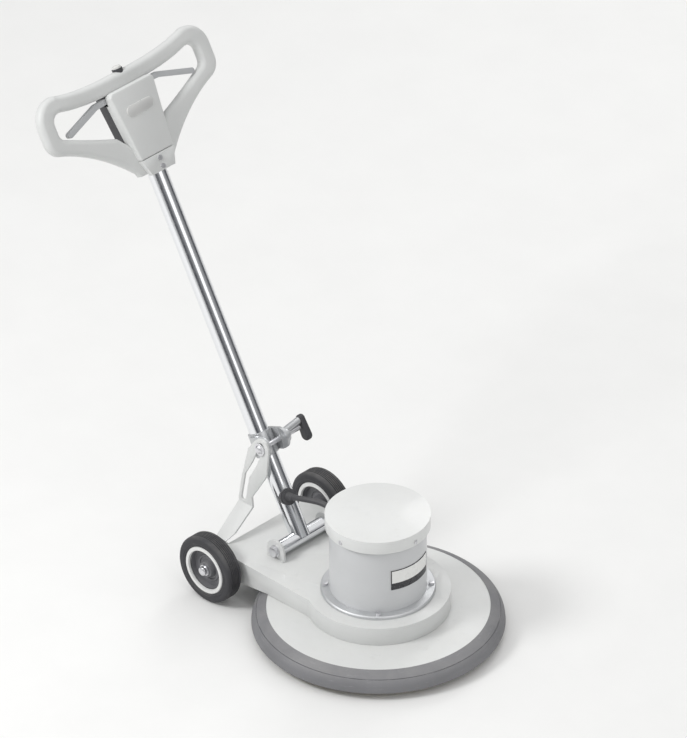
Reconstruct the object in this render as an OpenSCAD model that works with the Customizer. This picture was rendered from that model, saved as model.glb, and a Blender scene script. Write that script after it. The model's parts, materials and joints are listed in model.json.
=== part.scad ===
// Walk-behind floor burnisher: round pad deck, upright motor, two transport wheels and a tilting tube handle.
// Units are millimetres. The origin is on the floor under the motor shaft, +X points forward, +Z up.

/* [Deck] */
// Radius of the bumper at its lower edge
bumper_r = 280; // [275:1:290]
// Height above the floor of the edge where the deck's top meets the bumper
deck_top_z = 59; // [58:0.1:60.5]
// Radius of that edge
deck_flat_r = 246.5; // [243:0.5:249]
// Height of the bumper's lower edge above the floor
bumper_low_z = 17; // [15:0.5:19]
// Radius of the burnishing pad
pad_r = 252; // [245:1:256]
// Thickness of the burnishing pad
pad_h = 22; // [18:1:24]

/* [Chassis] */
// Height of the platform's top above the floor
platform_top_z = 106.6; // [105:0.2:108]
// Half the platform's width between its straight sides
platform_half_w = 142; // [139:1:144]
// Distance from the motor shaft to the platform's rear wall
platform_rear = 357; // [356.5:0.5:358]
// Radius of the platform's round front
platform_front_r = 159.7; // [158:0.1:162]
// Sheet thickness of the platform
platform_wall = 4; // [3:0.5:5]

/* [Motor] */
// Radius of the motor can
motor_r = 107.5; // [106:0.5:109]
// Radius of the fan cover
cover_r = 116.4; // [115:0.1:118]
// Height of the fan cover's top above the floor
cover_top_z = 304.7; // [302.5:0.1:307]
// Radius of the motor's base flange
flange_r = 127; // [125:0.5:130]

/* [Wheels] */
// Tyre radius
wheel_r = 80; // [78:1:82]
// Wheel width
wheel_w = 44; // [40:1:46]
// Distance from the motor shaft back to the axle
axle_back = 348; // [346:0.5:349]
// Distance from the middle plane to each wheel's middle
half_track = 175; // [174:1:178]
// Axle radius
axle_r = 7; // [6:0.5:7.5]

/* [Handle] */
// Tilt of the handle back from the vertical, at rest
tilt = 29.6; // [29.2:0.1:30]
// Outer radius of the handle tube
tube_r = 22.25; // [21:0.25:23]
// Distance from the motor shaft back to the handle's pivot
pivot_back = 241.3; // [240:0.1:243]
// Height of the handle's pivot above the floor
pivot_z = 126.4; // [125.4:0.1:128]
// Outer radius of the cross tube
cross_r = 17; // [16:0.5:17.5]
// Length of the cross tube
cross_len = 142; // [138:2:146]

/* [Handle head] */
// Half the width of the grip frame
grip_half_w = 257; // [254:1:259]
// Thickness of the grip frame
grip_t = 28; // [26:1:30]
// Distance along the tube from the pivot to the grip bar's outer edge, in the middle
grip_top = 1118.5; // [1118:0.5:1120]
// Width of the grip bar in the middle
grip_w = 38.5; // [37:0.5:39]

/* [Stay] */
// Radius of the clamp bolt
bolt_r = 6; // [5:0.5:6.5]
// Furthest the handle lowers from its rest tilt
lower_deg = 40; // [30:1:40]
// Furthest the handle rises from its rest tilt
raise_deg = 4; // [2:1:6]
// Turn of the stay for each degree of handle tilt
stay_ratio = 0.72; // [0.7:0.01:0.74]

/* [Hidden] */
$fn = 96;

axle_z = wheel_r;
deck_sheet = 3;
deck_crown_z = deck_top_z + 3.2;
deck_crown_r = 165;
platform_low_z = deck_crown_z + 0.4;
deck_bolt_ring = 138;
flange_bolt_ring = 117;
ear_t = 6;

// Where the clamp bolt crosses the handle: along the tube and in front of its axis
hub_s = 224.5;
hub_x = 29.5;
// The stay's flat bar: thickness, and the planes of its foot and of its slotted part
bar_t = 5;
bar_foot_y = -116;
bar_y = -35;
// The stay's pivot, behind the platform's rear wall
foot_x = -373;
foot_z = 97;
stay_pin_r = 5;
foot_r = 15;

// Heights in the motor
can_low_z = 114.9;
can_top_z = 274;
can_wall = 4;
core_low_z = can_low_z + 38;
core_top_z = core_low_z + 72;
lower_bearing_z = can_low_z + 4;
upper_bearing_z = can_top_z - 22;
gland_z = 248;

// Handle head, measured along the tube from the pivot
collar_low = 880;
console_low = 919;
console_top = 1084;
tube_end = 940;
console_front_x = 28;
console_rear_x = -30;
console_wall = 3;
trigger_pivot = [50, 1071];
trigger_knee = [45, -1.5];
trigger_end = [135, -30];
screw_heights = [889, 908];
grommet_s = 98;
grommet_turn = 20;
supply_gland_s = 1002;
wiring_y = 12;
wiring_r = 5;

// ---------- helpers ----------

module on_handle() translate([-pivot_back, 0, pivot_z]) rotate([0, -tilt, 0]) children();

// Draws a flat shape given in (y, z) and extrudes it along x from x0 to x1
module plate_yz(x0, x1) translate([x0, 0, 0]) rotate([90, 0, 90]) linear_extrude(x1 - x0) children();

// Draws a flat shape given in (x, z) and extrudes it along y from y0 to y1
module plate_xz(y0, y1) translate([0, y1, 0]) rotate([90, 0, 0]) linear_extrude(y1 - y0) children();

module y_cylinder(r, y0, y1) translate([0, y0, 0]) rotate([-90, 0, 0]) cylinder(r = r, h = y1 - y0);

module x_cylinder(r, x0, x1) translate([x0, 0, 0]) rotate([0, 90, 0]) cylinder(r = r, h = x1 - x0);

module z_cylinder(r, z0, z1) translate([0, 0, z0]) cylinder(r = r, h = z1 - z0);

module z_ring(r_in, r_out, z0, z1) difference() {
  z_cylinder(r_out, z0, z1);
  z_cylinder(r_in, z0 - 1, z1 + 1);
}

module hex_z(across, z0, z1) translate([0, 0, z0]) cylinder(d = across / cos(30), h = z1 - z0, $fn = 6);

// Rounded cap of radius r and height h on the plane z
module dome(r, h, z) rotate_extrude()
  polygon(concat([[0, z]], [for (a = [0:15:90]) [r * cos(a), z + h * sin(a)]]));

module both_sides() {
  children();
  mirror([0, 1, 0]) children();
}

module ring_of_four(r) for (a = [45:90:315]) rotate(a) translate([r, 0, 0]) children();

function turned_back(v, a) = [v[0] * cos(a) - v[1] * sin(a), v[0] * sin(a) + v[1] * cos(a)];
function arc(centre, r, from, to, steps) =
  [for (i = [0:steps]) let (a = from + (to - from) * i / steps) centre + r * [cos(a), sin(a)]];
function bezier(a, b, c, steps) =
  [for (i = [0:steps]) let (t = i / steps) a * (1 - t) * (1 - t) + b * 2 * t * (1 - t) + c * t * t];
function mirrored(points) = [for (i = [len(points) - 1:-1:0]) [-points[i][0], points[i][1]]];

// ---------- deck ----------

shroud_r = bumper_r - 15;
rim_low_z = bumper_low_z + 4;

module deck_shroud() color("gainsboro") difference() {
  rotate_extrude($fn = 180) polygon([
    [70, deck_crown_z - deck_sheet], [70, deck_crown_z], [deck_crown_r, deck_crown_z],
    [deck_flat_r, deck_top_z], [shroud_r - 2, deck_top_z - 11.4], [shroud_r, deck_top_z - 15.4],
    [shroud_r, rim_low_z], [shroud_r - deck_sheet, rim_low_z], [shroud_r - deck_sheet, deck_top_z - 16.4],
    [shroud_r - 5, deck_top_z - 13.9], [deck_flat_r - 4, deck_top_z - deck_sheet],
    [deck_crown_r, deck_crown_z - deck_sheet]
  ]);
  ring_of_four(deck_bolt_ring) z_cylinder(4.2, 40, deck_crown_z + 5);
}

// Rubber bumper that wraps the deck's edge
module deck_bumper() color("dimgray") rotate_extrude($fn = 180) polygon([
  [deck_flat_r + 0.3, deck_top_z + 0.4], [deck_flat_r + 0.4, deck_top_z - 0.1],
  [shroud_r - 1.7, deck_top_z - 11.2], [shroud_r + 0.3, deck_top_z - 15.4], [shroud_r + 0.3, bumper_low_z],
  [bumper_r - 2, bumper_low_z], [bumper_r, bumper_low_z + 3], [bumper_r - 1.2, deck_top_z - 29.4],
  [bumper_r - 4.2, deck_top_z - 19.4], [bumper_r - 8.5, deck_top_z - 12.8],
  [bumper_r - 12, deck_top_z - 9.8], [bumper_r - 22, deck_top_z - 4.4]
]);

// Bolts that hold the deck up under the platform
module deck_bolts() color("silver") ring_of_four(deck_bolt_ring) {
  z_cylinder(4, deck_crown_z - deck_sheet - 0.1, deck_crown_z + 12);
  hex_z(13, deck_crown_z - deck_sheet - 5.4, deck_crown_z - deck_sheet - 0.1);
}

// ---------- chassis ----------

skirt_low_z = 41;

module platform_plan(inset) {
  circle(r = platform_front_r - inset, $fn = 180);
  corner = 14;
  back = platform_rear - inset;
  side = platform_half_w - inset;
  translate([-back + corner, -side]) square([back - corner, 2 * side]);
  translate([-back, -side + corner]) square([back, 2 * (side - corner)]);
  for (s = [-1, 1]) translate([-back + corner, s * (side - corner)]) circle(r = corner);
}

// Where the platform's side walls end below: level over the deck, then deeper towards the rear
module platform_underside() plate_xz(-200, 200) polygon([
  [200, 0], [200, platform_low_z], [-80, platform_low_z], [-205, deck_top_z + 1],
  [-platform_rear - 1, skirt_low_z], [-platform_rear - 1, 0]
]);

module chassis_platform() color("whitesmoke") difference() {
  union() {
    difference() {
      translate([0, 0, skirt_low_z]) linear_extrude(platform_top_z - skirt_low_z) platform_plan(0);
      translate([0, 0, skirt_low_z - 1])
        linear_extrude(platform_top_z - platform_wall - skirt_low_z + 1) platform_plan(platform_wall);
      platform_underside();
    }
    // bosses for the deck bolts
    ring_of_four(deck_bolt_ring) z_cylinder(9, platform_low_z, platform_top_z - 1);
    // bearing blocks for the axle inside the side walls
    both_sides() translate([-axle_back - 5, platform_half_w - 18, axle_z - 14]) cube([24, 15, 32]);
  }
  z_cylinder(92, 50, 120);
  ring_of_four(deck_bolt_ring) z_cylinder(4.05, 50, deck_crown_z + 14);
  ring_of_four(flange_bolt_ring) z_cylinder(4.2, 90, 120);
  translate([-axle_back, 0, axle_z]) y_cylinder(axle_r + 0.02, -150, 150);
}

// Upright ears on the platform that carry the handle's pivot bolt
module pivot_ears() color("whitesmoke") both_sides() translate([-pivot_back, 0, 0]) difference() {
  y = cross_len / 2 + 1;
  union() {
    translate([0, 0, pivot_z]) y_cylinder(26, y, y + ear_t);
    plate_xz(y, y + ear_t)
      polygon([[-26, pivot_z], [-26, platform_top_z], [28, platform_top_z], [24, pivot_z + 10]]);
  }
  translate([0, 0, pivot_z]) y_cylinder(8.02, 0, 120);
  translate([-40, 0, platform_top_z - 20]) cube([80, 120, 20]);
}

// Lug pair on the rear wall that holds the foot of the stay
module stay_bracket() color("whitesmoke") difference() {
  wall_x = -platform_rear;
  union() {
    for (y = [bar_foot_y - 8, bar_foot_y + 3]) plate_xz(y, y + 5) {
      translate([foot_x, foot_z]) circle(r = 11);
      polygon([
        [foot_x, foot_z - 11], [wall_x, foot_z - 30], [wall_x, foot_z + 8], [foot_x + 2, foot_z + 11],
        [foot_x, foot_z + 11]
      ]);
    }
    translate([wall_x - 3, bar_foot_y - 8, foot_z - 32]) cube([3, 16, 14]);
  }
  translate([foot_x, 0, foot_z]) y_cylinder(stay_pin_r + 0.02, bar_foot_y - 20, bar_foot_y + 20);
}

module stay_pin() color("silver") translate([foot_x, bar_foot_y, foot_z]) {
  y_cylinder(stay_pin_r, -9, 11);
  difference() {
    y_cylinder(8.5, -12.5, -8.1);
    y_cylinder(2.5, -14, -10.5);
  }
  y_cylinder(7.5, 8.1, 11);
}

module wheel_axle() color("silver") translate([-axle_back, 0, axle_z])
  y_cylinder(axle_r, -half_track - wheel_w / 2 - 5, half_track + wheel_w / 2 + 5);

module axle_spacers() color("silver") both_sides() translate([-axle_back, 0, axle_z]) difference() {
  y_cylinder(13, platform_half_w + 0.1, half_track - wheel_w / 2 - 0.4);
  y_cylinder(axle_r + 0.02, platform_half_w - 5, half_track);
}

// Push-on caps that keep the wheels on the axle
module axle_caps() color("silver") both_sides()
  translate([-axle_back, half_track + wheel_w / 2 - 5.6, axle_z]) rotate([-90, 0, 0]) difference() {
    union() {
      z_cylinder(13, 0, 2.5);
      z_cylinder(10.5, 2.4, 9);
      dome(10.5, 4, 8.9);
    }
    z_cylinder(axle_r + 0.02, -1, 10.62);
  }

// Bolt through both ears and the cross tube, with its head, washers and nut
module pivot_bolt() color("silver") translate([-pivot_back, 0, pivot_z]) {
  end = cross_len / 2 + 1 + ear_t + 0.1;
  y_cylinder(8, -end - 1, end + 11);
  rotate([90, 0, 0]) {
    z_cylinder(13.5, end, end + 2.5);
    hex_z(22, end + 2.4, end + 10);
  }
  rotate([-90, 0, 0]) {
    z_ring(7.9, 13.5, end, end + 2.5);
    difference() {
      hex_z(22, end + 2.6, end + 9);
      z_cylinder(7.9, 0, end + 30);
    }
  }
}

// ---------- motor ----------

module motor_flange() color("silver") difference() {
  rotate_extrude($fn = 120) polygon([
    [88, platform_top_z + 0.1], [flange_r, platform_top_z + 0.1], [flange_r, can_low_z - 3],
    [flange_r - 2.5, can_low_z - 0.1], [88, can_low_z - 0.1]
  ]);
  ring_of_four(flange_bolt_ring) z_cylinder(4.2, 90, 120);
}

module flange_bolts() color("silver") ring_of_four(flange_bolt_ring) {
  z_cylinder(4, platform_top_z - 9, can_low_z);
  hex_z(11, can_low_z - 0.1, can_low_z + 4.5);
}

module motor_can() color("lightgray") difference() {
  union() {
    z_ring(motor_r - can_wall, motor_r, can_low_z, can_top_z);
    // tabs that carry the fan cover
    for (a = [0:90:270]) rotate(a) translate([motor_r - can_wall, -9, can_top_z - 2]) cube([9.8, 18, 20]);
  }
  for (a = [0:90:270]) rotate(a) translate([0, 0, can_top_z + 9]) x_cylinder(2.42, 90, 130);
  translate([0, 0, gland_z]) x_cylinder(9, -130, -90);
  z_cylinder(motor_r - can_wall, 100, 300);
}

// Curved plate on the front of the can
module motor_rating_plate() color("white") rotate(-30) rotate_extrude(angle = 60, $fn = 180) polygon([
  [motor_r + 0.05, can_low_z + 56], [motor_r + 1.3, can_low_z + 56], [motor_r + 1.3, can_low_z + 106],
  [motor_r + 0.05, can_low_z + 106]
]);

bell_r = motor_r - can_wall - 0.1;

module lower_end_bell() color("silver") difference() {
  union() {
    z_cylinder(bell_r, can_low_z, can_low_z + 10);
    z_cylinder(36, can_low_z - 10, can_low_z + 22);
    z_cylinder(87, can_low_z - 9, can_low_z);
  }
  z_cylinder(26.06, lower_bearing_z, can_low_z + 30);
  z_cylinder(16, 90, can_low_z + 30);
}

module upper_end_bell() color("silver") difference() {
  union() {
    z_cylinder(bell_r, can_top_z - 12, can_top_z - 6);
    z_cylinder(33, can_top_z - 26, can_top_z - 6);
  }
  z_cylinder(23.56, can_top_z - 40, upper_bearing_z + 14);
  z_cylinder(14, can_top_z - 40, can_top_z);
  for (a = [30:60:330]) rotate(a) translate([70, 0, 0]) z_cylinder(13, can_top_z - 20, can_top_z);
}

module stator_core() color("gray") difference() {
  z_ring(60, bell_r, core_low_z, core_top_z);
  for (a = [0:15:345]) rotate(a)
    translate([64, -3, core_low_z - 1]) cube([20, 6, core_top_z - core_low_z + 2]);
}

module stator_windings() color("peru") {
  z_ring(63, 94, core_low_z - 20, core_low_z - 0.1);
  z_ring(63, 94, core_top_z + 0.1, core_top_z + 17);
}

module bearing(r_in, r_out, z0, h) rotate_extrude() polygon([
  [r_in, z0], [r_in + 3, z0], [r_in + 3.6, z0 + 1.2], [r_out - 3.6, z0 + 1.2], [r_out - 3, z0], [r_out, z0],
  [r_out, z0 + h], [r_out - 3, z0 + h], [r_out - 3.6, z0 + h - 1.2], [r_in + 3.6, z0 + h - 1.2],
  [r_in + 3, z0 + h], [r_in, z0 + h]
]);

module lower_bearing() color("silver") bearing(12.54, 25.98, lower_bearing_z, 15);

module upper_bearing() color("silver") bearing(10.04, 23.48, upper_bearing_z, 14);

module fan_cover() color("whitesmoke") difference() {
  z_cylinder(cover_r, can_top_z + 0.4, cover_top_z);
  z_cylinder(cover_r - 2.5, can_top_z, cover_top_z - 3);
  for (a = [0:90:270]) rotate(a) translate([0, 0, can_top_z + 9]) x_cylinder(2.7, 90, 130);
}

module fan_cover_screws() color("silver") for (a = [0:90:270]) rotate(a) translate([0, 0, can_top_z + 9]) {
  x_cylinder(2.4, cover_r - 10, cover_r + 0.1);
  difference() {
    x_cylinder(4.6, cover_r + 0.05, cover_r + 2.4);
    translate([cover_r + 1.5, -0.6, -6]) cube([2, 1.2, 12]);
  }
}

// Gland in the back of the motor where the lead goes in
module motor_gland() color("dimgray") translate([0, 0, gland_z]) difference() {
  union() {
    x_cylinder(8.9, -motor_r - 1, -motor_r + 8);
    x_cylinder(13, -motor_r - 11, -motor_r - 0.1);
    x_cylinder(10, -motor_r - 16, -motor_r - 10);
  }
  x_cylinder(6.5, -motor_r - 20, -motor_r + 10);
}

// Lead from the handle to the motor, a tube swept along its route
lead_r = 6.4;
lead_route = [
  [-270, -8.6, 222.8], [-262, -11.5, 227.4], [-250, -14, 233], [-238, -14.5, 237.5], [-225, -13.2, 241],
  [-211, -10.6, 244], [-196, -7.2, 246.4], [-181, -3.8, 248], [-166, -1.3, 248.6], [-150, 0, 248.3],
  [-136, 0, 248], [-122, 0, 248], [-106, 0, 248]
];
lead_sides = 12;
function unit(v) = v / norm(v);
function lead_heading(i) =
  unit(lead_route[min(i + 1, len(lead_route) - 1)] - lead_route[max(i - 1, 0)]);
lead_points = [
  for (i = [0:len(lead_route) - 1])
    let (h = lead_heading(i), side = unit(cross([0, 0, 1], h)), rise = cross(h, side))
      for (k = [0:lead_sides - 1])
        let (a = 360 * k / lead_sides) lead_route[i] + lead_r * (side * cos(a) + rise * sin(a))
];
lead_faces = concat(
  [[for (k = [0:lead_sides - 1]) k]],
  [for (i = [0:len(lead_route) - 2]) for (k = [0:lead_sides - 1])
    let (a = i * lead_sides + k, b = i * lead_sides + (k + 1) % lead_sides)
      [a, a + lead_sides, b + lead_sides, b]],
  [[for (k = [lead_sides - 1:-1:0]) (len(lead_route) - 1) * lead_sides + k]]
);

module motor_lead() color("dimgray") polyhedron(points = lead_points, faces = lead_faces);

// ---------- spindle ----------

module motor_shaft() color("silver") {
  z_cylinder(11, 30, can_low_z - 12);
  z_cylinder(12.5, can_low_z - 12, core_low_z);
  z_cylinder(14, core_low_z, core_top_z);
  z_cylinder(12.5, core_top_z, upper_bearing_z - 0.5);
  z_cylinder(10, upper_bearing_z - 0.5, cover_top_z - 9);
}

module rotor_core() color("gray") {
  z_ring(14.02, 59.2, core_low_z + 2, core_top_z - 2);
  for (z = [core_low_z - 8, core_top_z - 1.9]) z_ring(44, 58, z, z + 9.9);
}

module cooling_fan() color("dimgray") {
  hub_z = can_top_z + 1.5;
  z_ring(10.02, 17, hub_z, hub_z + 18);
  z_ring(16.9, 98, hub_z + 2, hub_z + 4.5);
  for (a = [0:30:330]) rotate(a) rotate([0, 0, 8]) translate([30, -1.2, hub_z + 4.4]) cube([66, 2.4, 14]);
}

// Three-lug plate on the end of the shaft that the pad driver hooks onto
module clutch_plate() color("gray") {
  z_ring(11.02, 30, 38, 50);
  difference() {
    z_ring(29, 58, 38, 44);
    for (a = [0:120:240]) rotate(a) translate([58, 0, 30]) z_cylinder(12, 0, 30);
  }
}

module pad_driver() color("darkslategray") {
  difference() {
    z_cylinder(246, pad_h + 0.1, 33);
    z_cylinder(34, 20, 40);
    for (a = [0:45:315]) rotate(a + 22.5) translate([150, 0, 0]) z_cylinder(22, 27, 40);
  }
  difference() {
    z_ring(33.9, 66, 32.9, 37.9);
    for (a = [60:120:300]) rotate(a) translate([58, 0, 0]) z_cylinder(9, 30, 50);
  }
}

module burnishing_pad() color("wheat") difference() {
  z_cylinder(pad_r, 0, pad_h);
  z_cylinder(42, 5, pad_h + 1);
}

// Screw-in ring that centres the pad and holds it up
module pad_lock() color("crimson") {
  z_ring(16, 33.8, pad_h - 10, 32);
  z_ring(16, 40, 6, pad_h - 9.9);
}

// ---------- wheels ----------

module wheel_place(side)
  translate([-axle_back, side * half_track, axle_z]) rotate([-90, 0, side < 0 ? 180 : 0]) children();

rim_r = wheel_r - 23;

function tyre_profile() = let (w = wheel_w / 2, shoulder = 9) concat(
  [[rim_r, -w + 3], [rim_r + 3, -w]],
  arc([wheel_r - shoulder, -w + shoulder], shoulder, -90, 0, 6),
  arc([wheel_r - shoulder, w - shoulder], shoulder, 0, 90, 6),
  [[rim_r + 3, w], [rim_r, w - 3]]
);

module tyre() color("black") difference() {
  rotate_extrude($fn = 120) polygon(tyre_profile());
  for (z = [-10, 0, 10]) z_ring(wheel_r - 1.6, wheel_r + 5, z - 1.1, z + 1.1);
}

// Light ring that the tyre sits on
module wheel_rim() let (w = wheel_w / 2, r = rim_r) color("lightgray") rotate_extrude($fn = 120) polygon([
  [r - 10, w - 6], [r - 8.5, w - 1.2], [r - 1.5, w - 1.2], [r - 0.1, w - 3.2], [r - 0.1, 3.2 - w],
  [r - 1.5, 1.2 - w], [r - 8.5, 1.2 - w], [r - 10, 6 - w], [r - 5.5, 10 - w], [r - 5.5, w - 10]
]);

// Dished web with the hub in its middle
module wheel_dish() let (w = wheel_w / 2, r = rim_r) color("dimgray") difference() {
  rotate_extrude($fn = 120) polygon([
    [0, w - 6], [17, w - 6], [19, w - 9], [22, 5], [r - 15, 3], [r - 10.1, w - 7], [r - 10.1, w - 10.2],
    [r - 5.6, w - 10.2], [r - 5.6, 10.2 - w], [r - 10.1, 10.2 - w], [r - 11, -3], [r - 15, -4], [22, -3],
    [18, -w], [0, -w]
  ]);
  z_cylinder(axle_r + 0.05, -60, 60);
}

module tyre_right() wheel_place(-1) tyre();
module tyre_left() wheel_place(1) tyre();
module wheel_rim_right() wheel_place(-1) wheel_rim();
module wheel_rim_left() wheel_place(1) wheel_rim();
module wheel_dish_right() wheel_place(-1) wheel_dish();
module wheel_dish_left() wheel_place(1) wheel_dish();

// ---------- handle ----------

module head_screw_holes() for (s = screw_heights) translate([0, 0, s]) x_cylinder(3.2, -60, 60);

module handle_tube() color("silver") on_handle() difference() {
  z_cylinder(tube_r, 0, tube_end);
  z_cylinder(tube_r - 2.5, -40, tube_end + 1);
  y_cylinder(cross_r + 0.05, -40, 40);
  translate([0, 0, -60]) cube([120, 120, 120], center = true);
  // the corner that would dig into the platform with the handle laid right back
  rotate([0, tilt + lower_deg, 0]) translate([-60, -60, platform_top_z - pivot_z - 59.5]) cube([120, 120, 60]);
  rotate(-grommet_turn) translate([0, 0, grommet_s]) x_cylinder(9, 0, 40);
  head_screw_holes();
}

module cross_tube() color("silver") on_handle() difference() {
  y_cylinder(cross_r, -cross_len / 2, cross_len / 2);
  y_cylinder(cross_r - 3, -100, 100);
}

module pivot_bushes() color("tan") on_handle() both_sides() difference() {
  union() {
    y_cylinder(cross_r - 3, cross_len / 2 - 24, cross_len / 2);
    y_cylinder(cross_r - 1, cross_len / 2, cross_len / 2 + 0.7);
  }
  y_cylinder(8.05, 0, 120);
}

// Split sleeve on the tube with two round cheeks for the clamp bolt
module clamp_bracket() color("gray") on_handle() difference() {
  union() {
    z_cylinder(tube_r + 4.5, hub_s - 24, hub_s + 30);
    both_sides() {
      translate([hub_x, 0, hub_s]) y_cylinder(25, 24.5, 32);
      plate_xz(22, 32) polygon([
        [2, hub_s - 22], [hub_x + 2, hub_s - 24.8], [hub_x + 8, hub_s], [hub_x + 2, hub_s + 24.8],
        [0, hub_s + 28]
      ]);
    }
  }
  z_cylinder(tube_r + 0.03, 0, 400);
  translate([hub_x, 0, hub_s]) y_cylinder(bolt_r + 0.05, -60, 60);
  translate([15, -2.5, hub_s - 40]) cube([40, 5, 100]);
}

// Carriage bolt with its washer, through the stay's slot and both cheeks
module clamp_bolt() color("silver") on_handle() translate([hub_x, 0, hub_s]) {
  washer_y = bar_y - bar_t / 2 - 0.4;
  y_cylinder(bolt_r, washer_y - 3, 84);
  y_cylinder(15, washer_y - 3, washer_y);
  rotate([90, 0, 0]) dome(10.5, 6, 2.9 - washer_y);
}

// Rubber ring where the lead leaves the tube
module lead_grommet() color("black") on_handle() rotate(-grommet_turn) translate([0, 0, grommet_s])
  difference() {
    union() {
      x_cylinder(8.9, 16, 26);
      difference() {
        union() {
          x_cylinder(19, 10, 26.5);
          x_cylinder(16, 26, 29.5);
        }
        translate([0, 0, -30]) z_cylinder(tube_r + 0.01, 0, 60);
      }
    }
    x_cylinder(6.9, 0, 60);
  }

// Runs beside the head screws, through the frame's root, up to the switch
module handle_wiring() color("black") on_handle() translate([0, wiring_y, 0]) z_cylinder(wiring_r, 118, 1003);

// ---------- handle head, in the handle's own frame ----------

grip_reach = grip_half_w - 67;
function bar_rise(y, rise) = rise * pow(y / grip_reach, 3);
bar_ys = [for (i = [0:8]) i * grip_reach / 8];

// Outlines of the right half, from the middle of the grip bar round to the tube
outer_half = concat(
  [for (y = bar_ys) [y, grip_top + bar_rise(y, 17)]],
  arc([grip_half_w - 55, grip_top - 36], 55, 102, 0, 12),
  arc([grip_half_w - 40, grip_top - 72], 40, 0, -68, 8),
  bezier([grip_half_w - 31, grip_top - 111], [126, grip_top - 146], [46, grip_top - 235], 10)
);
inner_half = concat(
  [for (y = bar_ys) [y, grip_top - grip_w + bar_rise(y, 17)]],
  arc([grip_half_w - 61.5, grip_top - 42], 20.5, 96, 0, 8),
  arc([grip_half_w - 59.5, grip_top - 63], 18.5, 0, -66, 6),
  bezier([grip_half_w - 58, grip_top - 82.5], [130, grip_top - 113], [74, grip_top - 132.5], 6),
  [[48, grip_top - 162], [0, grip_top - 164]]
);

// Seat of the push button in the middle of the grip bar
bezel_r = 14.5;
bezel_low = grip_top - 18;

module grip_frame() color("gainsboro") on_handle() difference() {
  plate_yz(-grip_t / 2, grip_t / 2) difference() {
    polygon(concat(outer_half, mirrored(outer_half)));
    polygon(concat(inner_half, mirrored(inner_half)));
  }
  z_cylinder(tube_r + 0.02, 800, tube_end + 0.2);
  z_cylinder(bezel_r + 0.02, bezel_low - 0.1, grip_top + 20);
  z_cylinder(3, grip_top - 60, bezel_low);
  translate([0, wiring_y, 0]) z_cylinder(wiring_r + 0.4, tube_end - 1, tube_end + 20);
  head_screw_holes();
}

function console_half_w(s) = 48 + 19 * (s - console_low) / (console_top - console_low);

module console_plan(inset) polygon([
  [-console_half_w(console_low) + inset, console_low + inset],
  [console_half_w(console_low) - inset, console_low + inset],
  [console_half_w(console_top - 8) - inset, console_top - 8],
  [console_half_w(console_top) - 8, console_top - inset],
  [-console_half_w(console_top) + 8, console_top - inset],
  [-console_half_w(console_top - 8) + inset, console_top - 8]
]);

// Room for the arms of the grip frame, the tube's end and the squeeze bars
module console_slots() {
  translate([-grip_t / 2 - 0.2, -150, collar_low]) cube([grip_t + 0.4, 300, 112]);
  both_sides() translate([-7.5, 42, trigger_pivot[1] - 13]) cube([15, 60, 30]);
  z_cylinder(tube_r + 0.3, 900, tube_end + 1);
  translate([-grip_t / 2 - 0.2, -150, grip_top - grip_w - 0.3]) cube([grip_t + 0.4, 300, 60]);
}

module console_front() color("gainsboro") on_handle() difference() {
  plate_yz(0.2, console_front_x) console_plan(0);
  plate_yz(-5, console_front_x - console_wall) console_plan(console_wall);
  console_slots();
}

module console_rear() color("dimgray") on_handle() difference() {
  plate_yz(console_rear_x, -0.2) console_plan(0);
  plate_yz(console_rear_x + console_wall, 5) console_plan(console_wall);
  console_slots();
  translate([0, 0, supply_gland_s]) x_cylinder(9, -60, 0);
}

// Two halves that close round the tube's end and the frame's root
module console_collar() color("gainsboro") on_handle() difference() {
  plate_yz(console_rear_x, console_front_x) polygon([
    [-console_half_w(console_low), console_low - 0.4], [console_half_w(console_low), console_low - 0.4],
    [34, collar_low], [-34, collar_low]
  ]);
  translate([-grip_t / 2 - 0.1, -100, 0]) cube([grip_t + 0.2, 200, 1000]);
  z_cylinder(tube_r + 0.02, 800, tube_end);
  head_screw_holes();
}

// Blank badge on the front of the console
module console_badge() color("darkgray") on_handle() plate_yz(console_front_x + 0.05, console_front_x + 1.6) {
  translate([-26, 1016]) square([52, 26]);
  for (y = [-26, 26]) translate([y, 1029]) circle(r = 13);
}

module head_screws() color("silver") on_handle() for (s = screw_heights) translate([0, 0, s]) {
  x_cylinder(3, console_rear_x - 1, console_front_x + 1);
  x_cylinder(5.5, console_front_x + 0.05, console_front_x + 3.4);
  rotate([0, 90, 0]) hex_z(10, console_rear_x - 5, console_rear_x - 0.05);
}

module main_switch() color("black") on_handle() {
  translate([-14, -22, 1012]) cube([28, 44, 40]);
  for (y = [-14, 0, 14]) translate([-3, y - 3, 1004]) cube([6, 6, 8.1]);
}

// Hinge pins of the squeeze bars, held in the console's front and rear shells
module trigger_pins() color("silver") on_handle() both_sides()
  translate([0, trigger_pivot[0], trigger_pivot[1]])
    x_cylinder(2.5, console_rear_x + console_wall + 0.1, console_front_x - console_wall - 0.1);

// Cable gland for the supply cord, in the back of the console
module supply_gland() color("black") on_handle() translate([0, 0, supply_gland_s]) difference() {
  union() {
    x_cylinder(8.9, -34, -24);
    rotate([0, -90, 0]) hex_z(22, 30.1, 38);
    x_cylinder(10, -50, -37);
  }
  x_cylinder(5.2, -60, -28);
}

module button_bezel() color("black") on_handle() difference() {
  rotate_extrude() polygon([
    [0, bezel_low], [bezel_r, bezel_low], [bezel_r, grip_top + 1.5], [bezel_r - 1, grip_top + 3.5],
    [bezel_r - 2.6, grip_top + 5], [0, grip_top + 5]
  ]);
  z_cylinder(10.6, bezel_low + 3, grip_top + 20);
  z_cylinder(3, bezel_low - 1, bezel_low + 4);
}

module interlock_button() color("white") on_handle() {
  z_cylinder(10.3, grip_top - 10, grip_top + 8);
  dome(10.3, 4.5, grip_top + 7.9);
}

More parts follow.
